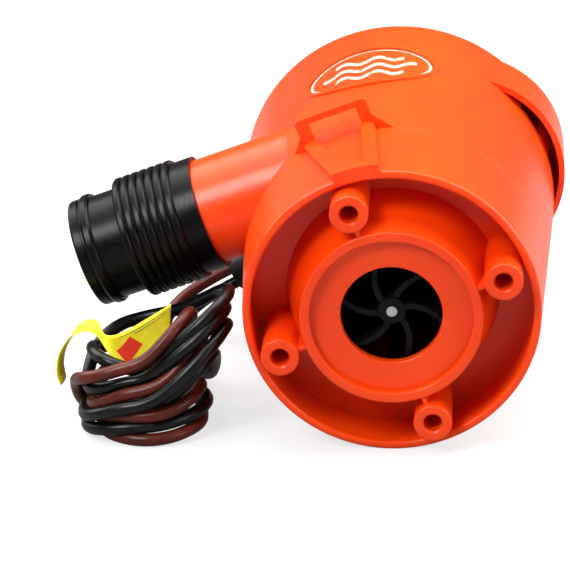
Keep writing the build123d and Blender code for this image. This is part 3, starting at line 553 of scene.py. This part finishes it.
# pairs of upper and lower edge points, in millimetres, from the front leaf to the outer one
tag_stations = [((-30.9, -27.6, 29.2), (-31.3, -27.9, 22.8)), ((-33.4, -27.8, 27.6), (-34.0, -28.3, 19.4)),
                ((-36.4, -27.9, 25.7), (-37.2, -28.5, 16.2)), ((-39.6, -27.8, 23.7), (-40.4, -28.3, 14.8)),
                ((-42.8, -27.0, 21.8), (-43.2, -27.5, 15.2)), ((-45.8, -24.6, 20.8), (-45.8, -26.6, 18.0)),
                ((-47.8, -21.4, 22.2), (-48.2, -25.6, 20.9)), ((-50.2, -19.8, 22.0), (-51.2, -24.6, 20.9)),
                ((-52.6, -19.2, 20.2), (-54.0, -24.2, 19.2)), ((-54.6, -19.2, 16.6), (-56.0, -24.2, 15.6)),
                ((-55.4, -19.8, 12.6), (-56.4, -24.6, 11.6)), ((-55.2, -20.4, 9.8), (-55.8, -24.4, 9.0))]
tag_across = 7               # points from edge to edge
tag_between = 4              # rows from one station to the next
back_print = 2               # the unprinted side's v starts here
diamond = ((3.1, 0.95), (0.57, 0.36))     # middle and half size, along u and along v
rule_lines = ((0.12, 0.020, 0.012, 2.0, 1.9), (0.20, 0.018, 0.010, 1.6, 1.2))


def tag_mesh():
    """Sheet through the stations with a front, a back and a closed edge."""
    edges = np.array(tag_stations)
    spots = np.linspace(0, len(edges) - 1, tag_between * (len(edges) - 1) + 1)
    low = np.clip(spots.astype(int), 0, len(edges) - 2)
    share = (spots - low)[:, None, None]
    knots = np.concatenate([edges[:1], edges, edges[-1:]])
    before, start, end, after = (knots[low + shift] for shift in range(4))
    rows = 0.5 * (2 * start + (end - before) * share
                  + (2 * before - 5 * start + 4 * end - after) * share ** 2
                  + (3 * start - before - 3 * end + after) * share ** 3)
    across = np.linspace(0, 1, tag_across)
    front = rows[:, None, 0] * (1 - across)[None, :, None] + rows[:, None, 1] * across[None, :, None]
    lengthwise = np.gradient(front, axis=0)
    crosswise = np.gradient(front, axis=1)
    normal = np.cross(lengthwise, crosswise)
    normal /= np.linalg.norm(normal, axis=2, keepdims=True)
    curl = ((across - 0.5) ** 2 * 4 * tag_curl)[None, :, None]
    wave = tag_wave * np.sin(spots * tag_wave_pace)[:, None, None]
    front = front + normal * (curl + wave)
    back = front + normal * tag_thickness
    count = len(spots) * tag_across
    vertices = np.concatenate([front.reshape(-1, 3), back.reshape(-1, 3)]) * mm
    faces = []
    for row in range(len(spots) - 1):
        for column in range(tag_across - 1):
            corner = row * tag_across + column
            square = (corner, corner + 1, corner + tag_across + 1, corner + tag_across)
            faces.append(square)
            faces.append(tuple(count + vertex for vertex in square[::-1]))
    border = list(range(tag_across))
    border += [row * tag_across + tag_across - 1 for row in range(1, len(spots))]
    border += [(len(spots) - 1) * tag_across + column for column in range(tag_across - 2, -1, -1)]
    border += [row * tag_across for row in range(len(spots) - 2, 0, -1)]
    for here, there in zip(border, border[1:] + border[:1]):
        faces.append((here + count, there + count, there, here))
    mesh = bpy.data.meshes.new("paper_tag")
    mesh.from_pydata(vertices.tolist(), [], faces)
    layer = mesh.uv_layers.new(name="print")
    for loop in mesh.loops:
        row, column = divmod(loop.vertex_index % count, tag_across)
        side = back_print if loop.vertex_index < count else 0
        layer.data[loop.index].uv = (spots[row], column / (tag_across - 1) + side)
    mesh.shade_smooth()
    return mesh


def tag_paper():
    """Yellow coated paper: u counts stations along the strip, v goes from its upper to its lower edge."""
    material, shader, place = start_material("yellow_paper")
    printed_at = place.node("ShaderNodeUVMap", {}, uv_map="print")
    u = printed_at.node("ShaderNodeSeparateXYZ", {"Vector": printed_at})
    v = Value(place.tree, u.socket.node.outputs["Y"])
    (middle_u, half_u), (middle_v, half_v) = diamond
    mark = (abs(u - middle_u) / half_u + abs(v - middle_v) / half_v).between(1.03, 0.97)
    rules = 0.0
    for height, soft, hard, middle, half_length in rule_lines:
        line = abs(v - height).between(soft, hard) * abs(u - middle).between(half_length, half_length - 0.05)
        rules = place.math("MAXIMUM", rules, line)
    cloud = place.noise(0.5, 4.0)
    fibre = place.noise(7.0, 5.0)
    soiled = place.noise(0.9, 5.0).between(0.55, 0.75)
    colour = cloud.between(0.3, 0.7).mixed((0.80, 0.66, 0.006, 1), (0.93, 0.80, 0.015, 1))
    colour = (soiled * 0.25).mixed(colour, (0.45, 0.36, 0.08, 1))
    colour = mark.mixed(colour, (0.80, 0.030, 0.010, 1))
    colour = (rules * 0.8).mixed(colour, (0.10, 0.09, 0.05, 1))
    normal = fibre.bump(0.02, 0.4)
    normal = cloud.bump(0.4, 0.3, normal)
    finish_material(shader, Base_Color=colour, Roughness=0.42 + fibre * 0.2, Normal=normal)
    return material


tag = bpy.data.objects.new("paper_tag", tag_mesh())
bpy.context.scene.collection.objects.link(tag)
tag.data.materials.append(tag_paper())
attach(tag, "housing")
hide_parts("wire_tag")

# ---- ground and light -----------------------------------------------------------------------
# Plain pale ground, bright to the camera and darker to everything else, so that it casts no light
# up into the pump. A large soft light overhead, a smaller one high in front, weak fill and two
# soft boxes behind for the sheen on the head's sides.
ground_reach = 6.0
corners = [(x * ground_reach, y * ground_reach, 0) for x, y in ((-1, -1), (1, -1), (1, 1), (-1, 1))]
ground_mesh = bpy.data.meshes.new("ground")
ground_mesh.from_pydata(corners, [], [(0, 1, 2, 3)])
ground = bpy.data.objects.new("ground", ground_mesh)
bpy.context.scene.collection.objects.link(ground)
white, white_shader, spot = start_material("pale_ground", Base_Color=(0.24, 0.24, 0.24, 1), Roughness=0.9,
                                           Specular_IOR_Level=0.0, Emission_Strength=0.72)
seen = Value(spot.tree, spot.tree.nodes.new("ShaderNodeLightPath").outputs["Is Camera Ray"])
finish_material(white_shader, Emission_Color=seen.mixed((0.12, 0.12, 0.12, 1), (1, 1, 1, 1)))
ground_mesh.materials.append(white)

world = bpy.data.worlds.new("studio")
bpy.context.scene.world = world
world.use_nodes = True
sky = world.node_tree.nodes["Background"]
sky.inputs["Color"].default_value = (1, 1, 1, 1)
sky.inputs["Strength"].default_value = 0.16


def soft_box(name, place, aim, size, power):
    """Rectangular area light that faces a point; metres and watts."""
    light = bpy.data.lights.new(name, "AREA")
    light.shape = "RECTANGLE"
    light.size, light.size_y = size
    light.energy = power
    made = bpy.data.objects.new(name, light)
    bpy.context.scene.collection.objects.link(made)
    turn = (Vector(aim) - Vector(place)).to_track_quat("-Z", "Y")
    made.matrix_world = Matrix.Translation(place) @ turn.to_matrix().to_4x4()


soft_box("top", (0.0, 0.10, 0.85), (0, 0, 0.04), (1.0, 0.7), 12.5)
soft_box("key", (-0.45, -0.60, 0.70), (0, 0, 0.03), (0.35, 0.35), 8.0)
soft_box("fill", (0.75, -0.60, 0.35), (0, 0, 0.03), (0.5, 0.5), 2.6)
soft_box("right", (0.80, 0.25, 0.50), (0, 0, 0.05), (0.7, 0.9), 11.0)
soft_box("left", (-0.70, 0.45, 0.60), (0, 0, 0.05), (0.7, 0.7), 6.0)
bpy.context.scene.view_settings.view_transform = "Standard"
